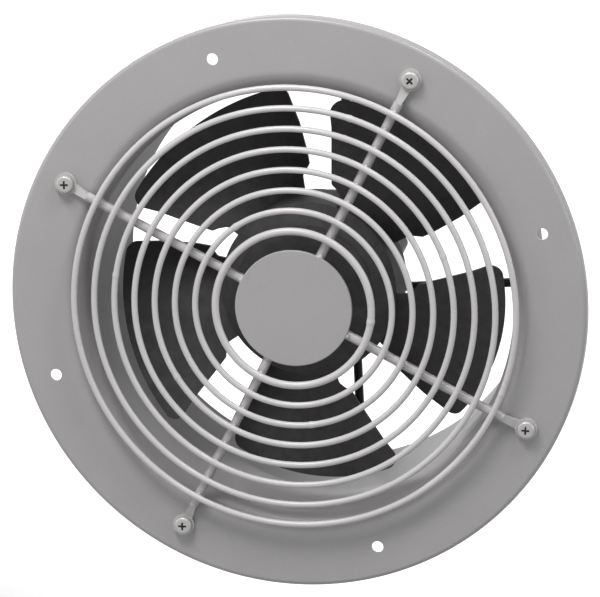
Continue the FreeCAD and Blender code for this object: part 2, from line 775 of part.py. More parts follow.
ball_r = cell("ball_dia") / 2
ball_ring = (bearing_r + shaft_r) / 2
width = cell("bearing_width")
for end, start in (("front", front_bearing), ("rear", rear_bearing)):
    middle = start + width / 2
    name = end + "_bearing"
    outer = tube(name + "_out", bearing_r, bearing_r - race, width, start)
    groove = torus(name + "_groove", ball_ring, ball_r + cell("ball_clear"), middle)
    piece(cut(name + "_outer", outer, groove), name + "_outer_ring")
    inner = tube(name + "_in", shaft_r + race, shaft_r + WELD, width, start)
    groove = torus(name + "_groove_in", ball_ring, ball_r + cell("ball_clear"), middle)
    piece(cut(name + "_inner", inner, groove), name + "_inner_ring")
    balls = []
    for number in range(BALL_COUNT):
        ball = DOC.addObject("Part::Sphere", "%s_ball_%d" % (name, number))
        bind(ball, "Radius", ball_r)
        ball_x, ball_z = polar(ball_ring, 360 / BALL_COUNT * number)
        place(ball, ball_x, middle, ball_z, Rotation())
        balls.append(ball)
    piece(compound(name + "_ball", balls), name + "_balls")
piece(tube("spring", bearing_r - WELD, bearing_r - race, cell("spring_plate"), bearing_back),
      "bearing_preload_washer")

# Carrier dish, arms and the motor's through bolts with their nuts
carrier_r = fin_r + cell("carrier_clear")
opening_r = carrier_r * OPENING_SHARE
carrier_back = motor_back + cell("carrier_plate")
collar_front = carrier_back - cell("carrier_collar")
carrier_wall = PLATE * 2
carrier = revolved("carrier", [
    (opening_r, motor_back),
    (carrier_r - carrier_wall / 2, motor_back),
    (carrier_r - carrier_wall / 2, collar_front),
    (carrier_r, collar_front),
    (carrier_r, carrier_back),
    (opening_r, carrier_back),
])
box_screw_r = cell("lid_screw") / 2
box_screw_x = cell("box_width") / 2 - cell("box_screw_inset")
box_screw_holes = [rod("carrier_hole_%d" % n, box_screw_r + WELD, OVER * 3, motor_back - OVER, x=place_x)
                   for n, place_x in enumerate((box_screw_x, -box_screw_x))]
piece(cut("carrier", carrier, stud_holes("carrier"), compound("carrier_holes", box_screw_holes)),
      "motor_carrier")
arm_y = carrier_back - cell("carrier_collar") / 2
for number, (turn, aside, side) in enumerate(ARM_TURNS, start=1):
    name = "arm_%d" % number
    bar = rod(name + "_bar", cell("arm_dia") / 2, tube_r + OVER, arm_y, z=cell(aside) * side,
              rotation=ALONG_X)
    wall = rod(name + "_wall", tube_r - WELD, cell("carrier_collar"), collar_front)
    seat = rod(name + "_seat", carrier_r + WELD, cell("carrier_collar"), collar_front)
    inside = DOC.addObject("Part::MultiCommon", name + "_inside")
    inside.Shapes = [bar, wall]
    arm = cut(name, inside, seat)
    piece(about_axis(arm, turn), "motor_arm_%d" % number)
bolts = []
stud_nuts = []
head = cell("stud_head_height")
stud_end = carrier_back + cell("stud_nut_height") + PLATE
for number, angle in enumerate(STUD_ANGLES):
    stud_x, stud_z = polar(stud_ring, angle)
    top = rod("stud_head_%d" % number, cell("stud_head") / 2, head, motor_front - head, stud_x, stud_z)
    shank = rod("stud_shank_%d" % number, stud_r, stud_end - motor_front + head, motor_front - head,
                stud_x, stud_z)
    bolts.append(fuse("stud_%d" % number, top, shank))
    stud_nuts.append(nut("stud_nut_%d" % number, cell("stud_nut_flats"), cell("stud_nut_height"),
                         carrier_back, stud_r + WELD, stud_x, stud_z))
piece(compound("studs", bolts), "motor_through_bolts")
piece(compound("stud_nuts", stud_nuts), "motor_nuts")

# Terminal box on the carrier, with lid, screws, block, capacitor and cable gland
box_w = cell("box_width") / 2
box_h = motor_r * BOX_SHARE
box_wall = cell("box_wall")
box_back = carrier_back + cell("box_depth")
lid_back = box_back + cell("lid_plate")
floor = carrier_back + box_wall


def rounded_block(name, half_w, half_h, corner, length, y):
    body = padded(name, "XZ_Plane", [
        (half_w, corner - half_h),
        (half_w, half_h - corner),
        (half_w - corner, half_h),
        (corner - half_w, half_h),
        (-half_w, half_h - corner),
        (-half_w, corner - half_h),
        (corner - half_w, -half_h),
        (half_w - corner, -half_h),
    ], length, {1: (corner, 1), 3: (corner, 1), 5: (corner, 1), 7: (corner, 1)})
    body.setExpression("Placement.Base.y", (y + length / 2).text)
    return body


corner = cell("box_round")
shell = rounded_block("box_outer", box_w, box_h, corner, cell("box_depth"), carrier_back)
cavity = rounded_block("box_inner", box_w - box_wall, box_h - box_wall, corner - box_wall,
                       cell("box_depth"), floor)
pillar_r = cell("pillar_dia") / 2
pillar_x = box_w - pillar_r - PLATE
pillar_z = box_h - pillar_r - PLATE
corners = [(pillar_x, pillar_z), (-pillar_x, pillar_z), (-pillar_x, -pillar_z), (pillar_x, -pillar_z)]
pillars = [rod("pillar_%d" % n, pillar_r, cell("box_depth") - PLATE, carrier_back + PLATE, px, pz)
           for n, (px, pz) in enumerate(corners)]
lid_thread = cell("lid_screw") / 2
lid_long = cell("lid_screw_length")
pilots = [rod("pilot_%d" % n, lid_thread + WELD, lid_long + OVER, lid_back - lid_long - PLATE, px, pz)
          for n, (px, pz) in enumerate(corners)]
pilots += [rod("box_hole_%d" % n, box_screw_r + cell("thread_clear"), OVER * 2, carrier_back - OVER,
               x=place_x)
           for n, place_x in enumerate((box_screw_x, -box_screw_x))]
gland_x = box_w * GLAND_SHARE
gland_y = carrier_back + cell("box_depth") / 2
gland_r = cell("gland_thread") / 2
gland_hole = rod("gland_hole", gland_r + WELD, box_wall + OVER * 2, gland_y, gland_x, -(box_h + OVER),
                 Rotation())
walls = fuse("box_walls", cut("box_hollow", shell, cavity), *pillars)
piece(cut("box", walls, compound("pilots", pilots), gland_hole), "terminal_box")
lid = rounded_block("lid_blank", box_w, box_h, corner, cell("lid_plate"), box_back)
lid_holes = [rod("lid_hole_%d" % n, lid_thread + cell("thread_clear"), OVER * 3, box_back - OVER, px, pz)
             for n, (px, pz) in enumerate(corners)]
piece(cut("lid", lid, compound("lid_holes", lid_holes)), "terminal_box_lid")


def small_screw(name, x, z, seat, length, thread):
    """A round-head screw whose head stands behind its seat and whose shank runs forward."""
    top = rod(name + "_head", cell("lid_head") / 2, cell("lid_head_height"), seat, x, z)
    shank = rod(name + "_shank", thread, length + cell("lid_head_height") / 2, seat - length, x, z)
    deep = cell("lid_head_height") / 2
    slot = block(name + "_slot", cell("lid_head") + OVER, deep + OVER, cell("recess_width") / 2,
                 x - (cell("lid_head") + OVER) / 2, seat + deep, z - cell("recess_width") / 4)
    return cut(name, fuse(name, top, shank), slot)


piece(compound("lid_screw", [small_screw("lid_screw_%d" % n, px, pz, lid_back, lid_long, lid_thread)
                             for n, (px, pz) in enumerate(corners)]), "lid_screws")
box_grip = box_wall + cell("carrier_plate") - PLATE
piece(compound("box_screw", [small_screw("box_screw_%d" % n, place_x, ZERO, floor, box_grip, box_screw_r)
                             for n, place_x in enumerate((box_screw_x, -box_screw_x))]), "box_screws")
can_r = box_h * CAN_SHARE
can_long = cell("box_width") * CAN_LENGTH_SHARE
can = rod("can", can_r, can_long, floor + can_r + WELD, x=can_long / -2,
          z=box_h - box_wall - can_r - PLATE, rotation=ALONG_X)
piece(can, "run_capacitor")
block_w = cell("box_width") * BLOCK_SHARE
collar = cell("gland_collar")
block_x = -(box_w - cell("pillar_dia") - PLATE * 2)
block_z = -(box_h - box_wall - collar / 2 - PLATE)
terminal = block("terminal_body", block_w, cell("block_depth"), cell("block_height"), block_x, floor, block_z)
terminal_holes = [rod("terminal_hole_%d" % n, cell("stud_dia") / 2, OVER * 2,
                      floor + cell("block_depth") - OVER, block_x + block_w * share,
                      block_z + cell("block_height") / 2)
                  for n, share in enumerate(TERMINAL_SHARES)]
piece(cut("terminal", terminal, compound("terminal_holes", terminal_holes)), "terminal_block")
UPRIGHT = Rotation()
FLATS_ASIDE = Rotation(Vector(0, 0, 1), 30)
collar_z = -(box_h + collar)
stem_z = collar_z - cell("gland_stem")
stem_top = -(box_h - box_wall - collar)
cable_r = cell("gland_bore") / 2
stem = rod("gland_stem_rod", gland_r, stem_top - stem_z, gland_y, gland_x, stem_z, UPRIGHT)
collar_hex = hexagon("gland_collar_hex", cell("gland_flats"), collar, gland_y, gland_x, collar_z,
                     FLATS_ASIDE)
cable_way = rod("gland_way", cable_r, box_h * 2, gland_y, gland_x, stem_z - OVER, UPRIGHT)
piece(cut("gland", fuse("gland", stem, collar_hex), cable_way), "cable_gland_body")
dome = cell("dome_height")
dome_z = collar_z - dome
dome_hex = hexagon("dome_hex", cell("gland_flats"), dome, gland_y, gland_x, dome_z, FLATS_ASIDE)
dome_way = rod("dome_way", cable_r, dome + OVER * 2, gland_y, gland_x, dome_z - OVER, UPRIGHT)
dome_seat = rod("dome_seat", gland_r + WELD, dome, gland_y, gland_x, stem_z - WELD, UPRIGHT)
piece(cut("dome", dome_hex, dome_way, dome_seat), "cable_gland_nut")
lock_z = -(box_h - box_wall)
lock_hex = hexagon("lock_hex", cell("gland_flats"), collar / 2, gland_y, gland_x, lock_z, FLATS_ASIDE)
lock_way = rod("lock_way", gland_r + WELD, collar, gland_y, gland_x, lock_z - PLATE, UPRIGHT)
piece(cut("lock", lock_hex, lock_way), "cable_gland_locknut")

DOC.recompute()
for thing in DOC.Objects:
    if "Invalid" in thing.State or "Error" in thing.State:
        raise RuntimeError("bad state: " + thing.Name)
os.makedirs("parts", exist_ok=True)
for thing in PIECES:
    shape = thing.Shape
    if shape.isNull() or not shape.isValid() or not shape.Solids:
        raise RuntimeError("bad shape: " + thing.Label)
    shape.exportStep("parts/%s.step" % thing.Label)
    print(thing.Label, len(shape.Solids), round(shape.Volume))
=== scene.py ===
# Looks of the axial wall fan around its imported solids
import json
import math

import bmesh
import bpy
from mathutils import Matrix, Vector


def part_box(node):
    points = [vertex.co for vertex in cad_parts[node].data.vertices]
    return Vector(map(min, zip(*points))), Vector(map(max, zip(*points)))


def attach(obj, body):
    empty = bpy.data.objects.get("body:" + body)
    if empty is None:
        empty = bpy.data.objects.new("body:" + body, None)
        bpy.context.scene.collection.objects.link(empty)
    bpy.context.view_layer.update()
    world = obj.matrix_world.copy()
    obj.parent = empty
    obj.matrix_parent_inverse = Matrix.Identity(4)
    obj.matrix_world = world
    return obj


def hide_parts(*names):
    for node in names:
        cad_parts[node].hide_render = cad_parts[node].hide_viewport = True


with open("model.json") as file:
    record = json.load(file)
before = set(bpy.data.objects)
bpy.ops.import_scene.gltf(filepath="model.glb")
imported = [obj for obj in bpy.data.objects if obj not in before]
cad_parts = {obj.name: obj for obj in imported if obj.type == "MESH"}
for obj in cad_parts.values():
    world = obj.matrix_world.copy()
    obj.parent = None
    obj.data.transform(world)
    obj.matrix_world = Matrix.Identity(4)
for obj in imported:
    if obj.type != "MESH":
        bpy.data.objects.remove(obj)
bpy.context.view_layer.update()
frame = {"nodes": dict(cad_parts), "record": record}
NODES = frame["nodes"]
scene = bpy.context.scene
scene.view_settings.view_transform = "Standard"

MM = 0.001
AXIS = Vector((0, 1, 0))
FULL_TURN = 2 * math.pi
QUARTER_TURN = math.pi / 2
# Each spoke of the guard ends at a screw, and the wall holes lie halfway between the screws
RING_COUNT, SPOKE_COUNT, ROD_COUNT = 8, 4, 4


def spoke_angle(number):
    """The angle of a spoke and its screw, counted from nought."""
    return math.radians(90 * number)


def radial(angle):
    """The direction away from the fan's axis at an angle."""
    return Vector((math.cos(angle), 0, math.sin(angle)))


def add_object(name, data):
    """A new object in the scene."""
    thing = bpy.data.objects.new(name, data)
    scene.collection.objects.link(thing)
    return thing


# The photograph shows the fan turned about its own axis by this much
ROLL = math.radians(27.55)
# Places in the photograph's frame are measured from the front face of the flange
FLANGE_FRONT = -0.0015


def photo_direction(x, y, z):
    """A direction of the photograph's upright frame, in the part's own frame."""
    cos, sin = math.cos(ROLL), math.sin(ROLL)
    return Vector((x * cos - z * sin, y, x * sin + z * cos))


def photo_place(x, y, z):
    """A point of the photograph's upright frame, in the part's own frame."""
    return photo_direction(x, y + FLANGE_FRONT, z)


def stand(thing, place, right, up, back):
    """Put a camera or a lamp at a place, facing away from its back."""
    turn = Matrix((right, up, back)).transposed().to_4x4()
    thing.matrix_world = Matrix.Translation(place) @ turn


# Camera of the photograph: lens and sensor in millimetres, place and axes in its upright frame
SENSOR_WIDTH = 36
LENS = 276.14
CLIP_END = 50
CAMERA_PLACE = (0.5472, -2.7677, 0.6956)
CAMERA_RIGHT = (0.98202, 0.18742, -0.02283)
CAMERA_UP = (-0.02283, 0.23794, 0.97101)
CAMERA_BACK = (0.18742, -0.95303, 0.23794)


def make_camera():
    """The camera at the photograph's place."""
    data = bpy.data.cameras.new("camera")
    data.sensor_fit = "HORIZONTAL"
    data.sensor_width = SENSOR_WIDTH
    data.lens = LENS
    data.clip_end = CLIP_END
    camera = add_object("camera", data)
    axes = [photo_direction(*axis) for axis in (CAMERA_RIGHT, CAMERA_UP, CAMERA_BACK)]
    stand(camera, photo_place(*CAMERA_PLACE), *axes)
    scene.camera = camera


make_camera()


# Node helpers for the materials
class Nodes:
    def __init__(self, tree):
        self.tree = tree
        tree.nodes.clear()

    def add(self, kind, **values):
        """A node with settings by name, or else with values on its sockets."""
        node = self.tree.nodes.new(kind)
        for key, value in values.items():
            if hasattr(node, key):
                setattr(node, key, value)
            else:
                node.inputs[key.replace("_", " ")].default_value = value
        return node

    def link(self, source, output, target, socket):
        self.tree.links.new(source.outputs[output], target.inputs[socket])

    def noise(self, scale, detail, rough):
        """A noise fixed to the object, so that it moves with its piece."""
        place = self.add("ShaderNodeTexCoord")
        node = self.add("ShaderNodeTexNoise", Scale=scale, Detail=detail, Roughness=rough)
        self.link(place, "Object", node, "Vector")
        return node

    def ramp(self, source, positions, colours):
        """Two colours, or two greys, spread over a noise."""
        node = self.add("ShaderNodeValToRGB")
        for element, position, colour in zip(node.color_ramp.elements, positions, colours):
            element.position = position
            element.color = colour
        self.link(source, "Fac", node, "Fac")
        return node


# Detail and roughness of each noise, and where its two colours or greys stand on it
MOTTLE_NOISE = (5.0, 0.6)
MOTTLE_STOPS = (0.25, 0.75)
GRAIN_NOISE = (3.0, 0.5)
GLOSS_STOPS = (0.3, 0.7)
PEEL_NOISE = (2.0, 0.4)
# How far the gloss strays from a material's roughness
GLOSS_SPREAD = 0.05
# Orange peel is this many times wider than the grain, and both have a height in metres
PEEL_WIDENING = 5
GRAIN_HEIGHT = 0.0002
PEEL_HEIGHT = 0.0004
# Roughness that a paint with a matt depth reaches there
MATT_ROUGHNESS = 0.65


def shade(colour, factor):
    """A colour made darker or lighter, with full alpha."""
    return tuple(min(1.0, c * factor) for c in colour) + (1.0,)


def grey(level):
    """A level as a colour with full alpha."""
    return (level, level, level, 1)


def surface(name, colour, roughness, metallic=0.0, spread=0.06, coarse=25.0, grain=900.0,
            bump=0.05, specular=0.5, peel=0.0, matt_depth=0.0):
    """A procedural material: mottled colour, uneven gloss, fine grain and a broader orange peel.

    A paint with a matt depth loses its gloss from the flange to that depth down the tube.
    """
    material = bpy.data.materials.new(name)
    material.use_nodes = True
    n = Nodes(material.node_tree)
    out = n.add("ShaderNodeOutputMaterial")
    shader = n.add("ShaderNodeBsdfPrincipled", Metallic=metallic, Specular_IOR_Level=specular)
    n.link(shader, "BSDF", out, "Surface")
    mottle = n.noise(coarse, *MOTTLE_NOISE)
    tint = n.ramp(mottle, MOTTLE_STOPS, (shade(colour, 1 - spread), shade(colour, 1 + spread)))
    n.link(tint, "Color", shader, "Base Color")
    fine = n.noise(grain, *GRAIN_NOISE)
    low, high = roughness - GLOSS_SPREAD, roughness + GLOSS_SPREAD
    gloss = n.ramp(fine, GLOSS_STOPS, (grey(low), grey(high)))
    if matt_depth:
        place = n.add("ShaderNodeTexCoord")
        split = n.add("ShaderNodeSeparateXYZ")
        n.link(place, "Object", split, "Vector")
        depth = n.add("ShaderNodeMapRange", From_Max=matt_depth, To_Max=MATT_ROUGHNESS - roughness)
        n.link(split, "Y", depth, "Value")
        total = n.add("ShaderNodeMath", operation="ADD")
        n.link(gloss, "Color", total, 0)
        n.link(depth, "Result", total, 1)
        n.link(total, "Value", shader, "Roughness")
    else:
        n.link(gloss, "Color", shader, "Roughness")
    relief = n.add("ShaderNodeBump", Strength=bump, Distance=GRAIN_HEIGHT)
    n.link(fine, "Fac", relief, "Height")
    if peel:
        wide = n.noise(grain / PEEL_WIDENING, *PEEL_NOISE)
        under = n.add("ShaderNodeBump", Strength=peel, Distance=PEEL_HEIGHT)
        n.link(wide, "Fac", under, "Height")
        n.link(under, "Normal", relief, "Normal")
    n.link(relief, "Normal", shader, "Normal")
    return material


# One look for each material slot of the record: name, colour, roughness and the rest by name
LOOKS = {
    "grey_paint": surface("grey_powder_coat", (0.33, 0.323, 0.325), 0.30, grain=1500, bump=0.10,
                          spread=0.03, peel=0.06, specular=0.4, matt_depth=0.010),
    "zinc_steel": surface("zinc_plate", (0.38, 0.374, 0.371), 0.36, metallic=0.3, grain=2500,
                          spread=0.08),
    "impeller_plastic": surface("black_moulded_plastic", (0.072, 0.072, 0.073), 0.58, grain=2200,
                                bump=0.14, specular=0.12, spread=0.22, coarse=140),
    "black_paint": surface("black_enamel", (0.016, 0.016, 0.0165), 0.45, grain=1100, bump=0.12,
                           specular=0.4, peel=0.06),
    "motor_paint": surface("motor_enamel", (0.020, 0.0205, 0.022), 0.48, grain=900, bump=0.2,
                           specular=0.4),
    "box_plastic": surface("box_plastic", (0.030, 0.030, 0.032), 0.52, grain=1800, bump=0.15,
                           specular=0.4),
    "capacitor_can": surface("capacitor_aluminium", (0.70, 0.70, 0.71), 0.30, metallic=1.0,
                             grain=2500),
    "copper_wire": surface("copper_winding", (0.62, 0.28, 0.13), 0.35, metallic=1.0, grain=1500,
                           bump=0.5),
    "bright_steel": surface("bright_steel", (0.56, 0.56, 0.57), 0.28, metallic=1.0, grain=2600),
}
SLOT_OF = {entry["node"]: entry["material_slot"] for entry in frame["record"]["subparts"]}

# Rings and spokes of the guard have the grey paint of their slot, painted lighter to stand in for
# the light their round wires catch: a painted highlight, stronger on the rings than on the spokes
WIRE_PAINTED_LIGHT_LOOK = surface("grey_wire_enamel_painted_light", (0.50, 0.49, 0.492), 0.26, grain=1500, bump=0.06,
                    spread=0.03)
ROD_PAINTED_LIGHT_LOOK = surface("grey_rod_enamel_painted_light", (0.42, 0.411, 0.413), 0.30, grain=1500, bump=0.06,
                   spread=0.03)
RINGS = ["guard_ring_%d" % (number + 1) for number in range(RING_COUNT)]
SPOKES = ["guard_spoke_%d" % (number + 1) for number in range(SPOKE_COUNT)]
NODE_LOOKS = {**dict.fromkeys(RINGS, WIRE_PAINTED_LIGHT_LOOK), **dict.fromkeys(SPOKES, ROD_PAINTED_LIGHT_LOOK)}
for name, thing in NODES.items():
    for holder in thing.material_slots:
        holder.link = "OBJECT"
        holder.material = NODE_LOOKS.get(name, LOOKS[SLOT_OF[name]])


# Helpers for the added pieces, all fixed to the housing
def add_shape(name, verts, faces):
    """A smooth closed mesh with its faces turned outward."""
    mesh = bpy.data.meshes.new(name)
    mesh.from_pydata(verts, [], faces)
    shell = bmesh.new()
    shell.from_mesh(mesh)
    bmesh.ops.recalc_face_normals(shell, faces=shell.faces)
    shell.to_mesh(mesh)
    shell.free()
    mesh.shade_smooth()
    return add_object(name, mesh)


def add_piece(name, verts, faces, slot, look=None):
    """A shape fixed to the housing, with the look of its slot or one of its own."""
    piece = add_shape(name, verts, faces)
    piece.data.materials.append(look or LOOKS[slot])
    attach(piece, "housing")
    return piece


def joined(shapes):
    """Verts and faces of several shapes as one."""
    verts = []
    faces = []
    for more_verts, more_faces in shapes:
        start = len(verts)
        verts.extend(more_verts)
        faces.extend(tuple(start + index for index in face) for face in more_faces)
    return verts, faces


def prism(first, second):
    """Verts and faces between two outlines with the same number of points."""
    count = len(first)
    faces = [(k, (k + 1) % count, count + (k + 1) % count, count + k) for k in range(count)]
    caps = [tuple(reversed(range(count))), tuple(range(count, 2 * count))]
    return first + second, faces + caps


def sweep(line, radius_at, closed, sides=10):
    """Verts and faces of a round bead along points that each carry two cross axes."""
    verts = []
    faces = []
    count = len(line)
    for step, (point, across, along) in enumerate(line):
        radius = radius_at(step)
        for side in range(sides):
            turn = FULL_TURN * side / sides
            spread = across * (radius * math.cos(turn)) + along * (radius * math.sin(turn))
            verts.append(point + spread)
    for step in range(count if closed else count - 1):
        here, after = step * sides, (step + 1) % count * sides
        for side in range(sides):
            beside = (side + 1) % sides
            faces.append((here + side, here + beside, after + beside, after + side))
    if not closed:
        faces.append(tuple(reversed(range(sides))))
        faces.append(tuple(range((count - 1) * sides, count * sides)))
    return verts, faces


def circle_line(centre, first, second, reach, steps):
    """Points round a circle, each with its outward and its normal direction."""
    normal = first.cross(second).normalized()
    line = []
    for step in range(steps):
        turn = FULL_TURN * step / steps
        out = first * math.cos(turn) + second * math.sin(turn)
        line.append((centre + out * reach, out, normal))
    return line


# Guard: sizes of its rings, from their boxes
RING_BOXES = [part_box(ring) for ring in RINGS]
WIRES = [(high[1] - low[1]) / 2 for low, high in RING_BOXES]
RADII = [high[0] - wire for (low, high), wire in zip(RING_BOXES, WIRES)]
MIDDLES = [(low[1] + high[1]) / 2 for low, high in RING_BOXES]

# Weld nuggets: rows and sides, reach and lift, then height, stretch and edge as shares of reach
NUGGET_ROWS, NUGGET_SIDES = 6, 14
NUGGET_REACH = 2.4 * MM
NUGGET_LIFT = 0.5 * MM
NUGGET_HEIGHT = 0.62
NUGGET_STRETCH = 1.1
NUGGET_UNEVENNESS = 0.10
NUGGET_PINCH, NUGGET_LOBES = 0.18, 4
# Nuggets at the disc: reach, distance inside its edge, and the first of their seeds
DISC_NUGGET_REACH = 3.0 * MM
DISC_NUGGET_INSET = 1.2 * MM
DISC_NUGGET_SEED = 40
# Waves of a nugget's edge: share, waves in a turn, shift by the seed
RIPPLES = ((0.6, 3.0, 1.0), (0.4, 7.0, 1.7))

# Butt joints: angle on each ring in degrees, half length, points along it, swelling of the wire
JOINT_ANGLES = (19, 152, 305, 239, 48, 198, 100, 6)
JOINT_HALF = 3.2 * MM
JOINT_STEPS = 13
JOINT_SWELL = 0.16


def ripple(seed, turn):
    """A small uneven wave, the same on every run."""
    return sum(share * math.sin(waves * turn + shift * seed) for share, waves, shift in RIPPLES)


def nugget(place, out, side, reach, seed):
    """A squeezed weld: a low uneven dome of metal round a crossing."""
    half = AXIS * reach * NUGGET_HEIGHT
    verts = [place - half]
    faces = []
    for row in range(1, NUGGET_ROWS):
        tilt = math.pi * row / NUGGET_ROWS
        for step in range(NUGGET_SIDES):
            turn = FULL_TURN * step / NUGGET_SIDES
            wide = reach * math.sin(tilt) * (1 + NUGGET_UNEVENNESS * ripple(seed, turn))
            pinch = 1 + NUGGET_PINCH * math.cos(NUGGET_LOBES * turn)
            away = out * math.cos(turn) * NUGGET_STRETCH + side * math.sin(turn)
            verts.append(place - half * math.cos(tilt) + away * wide * pinch)
    verts.append(place + half)
    last = len(verts) - 1
    for step in range(NUGGET_SIDES):
        beside = (step + 1) % NUGGET_SIDES
        faces.append((0, 1 + step, 1 + beside))
        faces.append((last, last - NUGGET_SIDES + beside, last - NUGGET_SIDES + step))
        for row in range(NUGGET_ROWS - 2):
            here, below = 1 + row * NUGGET_SIDES, 1 + (row + 1) * NUGGET_SIDES
            faces.append((here + step, below + step, below + beside, here + beside))
    return verts, faces


def make_guard_welds():
    """A nugget at each crossing of ring and spoke, and where a spoke meets the disc."""
    disc_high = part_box("guard_disc")[1]
    for number in range(SPOKE_COUNT):
        angle = spoke_angle(number)
        out, side = radial(angle), radial(angle + QUARTER_TURN)
        shapes = []
        for ring, (reach, wire, middle) in enumerate(zip(RADII, WIRES, MIDDLES)):
            place = out * reach + AXIS * (middle + wire + NUGGET_LIFT)
            shapes.append(nugget(place, out, side, NUGGET_REACH, number * RING_COUNT + ring))
        place = out * (disc_high[0] - DISC_NUGGET_INSET) + AXIS * disc_high[1]
        shapes.append(nugget(place, out, side, DISC_NUGGET_REACH, number + DISC_NUGGET_SEED))
        # The nuggets take the spokes' lighter grey, a painted highlight
        add_piece("guard_welds_%d" % (number + 1), *joined(shapes), "grey_paint", ROD_PAINTED_LIGHT_LOOK)


def joint_swell(step):
    """How much thicker the wire is at a point of its butt joint."""
    return 1.0 + JOINT_SWELL * math.sin(math.pi * step / (JOINT_STEPS - 1)) ** 2


def make_ring_joints():
    """A short swelling in each ring, where its wire was closed."""
    shapes = []
    for reach, wire, middle, degrees in zip(RADII, WIRES, MIDDLES, JOINT_ANGLES):
        half = JOINT_HALF / reach
        line = []
        for step in range(JOINT_STEPS):
            along = half * (2 * step / (JOINT_STEPS - 1) - 1)
            out = radial(math.radians(degrees) + along)
            line.append((out * reach + AXIS * middle, out, AXIS))
        shapes.append(sweep(line, lambda step: wire * joint_swell(step), False))
    # The joints take the rings' lighter grey, a painted highlight
    add_piece("guard_ring_joints", *joined(shapes), "grey_paint", WIRE_PAINTED_LIGHT_LOOK)


make_guard_welds()
make_ring_joints()

# Flange as in its solid: tube, rim and bolt radii, sheet, bell and bend radii, end of the lip
TUBE_R, RIM_R, BOLT_R = 0.137, 0.185, 0.165
PLATE, BELL, BEND, LIP_END = 0.0015, 0.014, 0.003, 0.0075
WALL_HOLE_R, SCREW_HOLE_R = 3.75 * MM, 3.3 * MM
BELL_MIDDLE = BELL - PLATE
BEND_MIDDLE = BEND - PLATE
# A row of points this far from each bend keeps the light even on the flats
EDGE_ROW = 0.0004
# Steps round the flange, its holes and its bends, front and back
LATHE_STEPS, DRILL_STEPS = 360, 48
BELL_STEPS, BELL_BACK_STEPS = 20, 14
BEND_STEPS, BEND_BACK_STEPS = 14, 8
SHARP_ANGLE = math.radians(40)


def arc(middle_r, middle_y, radius, start, end, steps):
    """Points of radius and height along an arc between two angles in degrees."""
    turns = [math.radians(start + (end - start) * step / steps) for step in range(steps + 1)]
    return [(middle_r + radius * math.cos(turn), middle_y + radius * math.sin(turn))
            for turn in turns]


def lathe(profile, steps):
    """Verts and faces of a closed profile of radius and height turned about the axis."""
    count = len(profile)
    verts = []
    faces = []
    for step in range(steps):
        out = radial(FULL_TURN * step / steps)
        verts.extend(out * reach + AXIS * height for reach, height in profile)
        here, after = step * count, (step + 1) % steps * count
        for row in range(count):
            below = (row + 1) % count
            faces.append((here + row, after + row, after + below, here + below))
    return verts, faces


def drill(reach, angle):
    """Verts and faces of a cylinder through the flange."""
    middle = radial(angle) * BOLT_R
    outline = [middle + radial(FULL_TURN * step / DRILL_STEPS) * reach
               for step in range(DRILL_STEPS)]
    return prism([point - AXIS * 2 * PLATE for point in outline],
                 [point + AXIS * PLATE for point in outline])


def flange_profile():
    """Radius and height round the pressed sheet: its front outward, then its back inward."""
    outer = RIM_R - BEND
    inner = TUBE_R + BELL
    back = RIM_R - PLATE
    return [
        *arc(inner, BELL_MIDDLE, BELL, 180, 270, BELL_STEPS),
        (inner + EDGE_ROW, -PLATE),
        (outer - EDGE_ROW, -PLATE),
        *arc(outer, BEND_MIDDLE, BEND, 270, 360, BEND_STEPS),
        (RIM_R, BEND_MIDDLE + EDGE_ROW),
        (RIM_R, LIP_END - EDGE_ROW),
        (RIM_R - PLATE / 2, LIP_END),
        (back, LIP_END - EDGE_ROW),
        (back, BEND_MIDDLE + EDGE_ROW),
        *arc(outer, BEND_MIDDLE, BEND - PLATE, 360, 270, BEND_BACK_STEPS),
        (outer - EDGE_ROW, 0),
        (inner + EDGE_ROW, 0),
        *arc(inner, BELL_MIDDLE, BELL - PLATE, 270, 180, BELL_BACK_STEPS),
    ]


def make_flange():
    """The flange with a finer rounding than its solid, so that light runs evenly along it."""
    piece = add_piece("painted_flange", *lathe(flange_profile(), LATHE_STEPS), "grey_paint")
    holes = [drill(WALL_HOLE_R, spoke_angle(number + 0.5)) for number in range(SPOKE_COUNT)]
    holes += [drill(SCREW_HOLE_R, spoke_angle(number)) for number in range(SPOKE_COUNT)]
    drills = add_shape("flange_drills", *joined(holes))
    cut = piece.modifiers.new("holes", "BOOLEAN")
    cut.object = drills
    bpy.context.view_layer.update()
    whole = piece.evaluated_get(bpy.context.evaluated_depsgraph_get())
    drilled = bpy.data.meshes.new_from_object(whole)
    piece.modifiers.clear()
    piece.data = drilled
    drilled.set_sharp_from_angle(angle=SHARP_ANGLE)
    bpy.data.objects.remove(drills)
    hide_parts("wall_flange")


# Guard screws, in degrees: recess angle of the solids, and how far each is driven past it
RECESS_ANGLE = -25
DRIVEN = (49.5, 7.5, 52.5, 51)
# Painted shade in each cross recess, a dark cross that stands in for the shadow there: corners,
# shoulders and tips of its arms, its depths and its taper
ARM_COUNT = 4
ARM_CORNER = 0.62 * MM
ARM_SHOULDER, ARM_HALF = 2.2 * MM, 0.42 * MM
ARM_TIP = 2.55 * MM
SHADE_TOP, SHADE_DEEP = 0.45 * MM, 1.7 * MM
SHADE_TAPER = 0.8


def make_screws():
    """The screws of the solids, each turned about its own axis as the photograph shows it."""
    mesh = NODES["guard_screws"].data.copy()
    for vert in mesh.vertices:
        angle = math.atan2(vert.co.z, vert.co.x)
        number = round(angle / QUARTER_TURN) % SPOKE_COUNT
        middle = radial(spoke_angle(number)) * BOLT_R
        turn = Matrix.Rotation(math.radians(-DRIVEN[number]), 3, "Y")
        vert.co = middle + turn @ (vert.co - middle)
    mesh.materials.clear()
    mesh.materials.append(LOOKS["zinc_steel"])
    piece = add_object("driven_guard_screws", mesh)
    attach(piece, "housing")
    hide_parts("guard_screws")


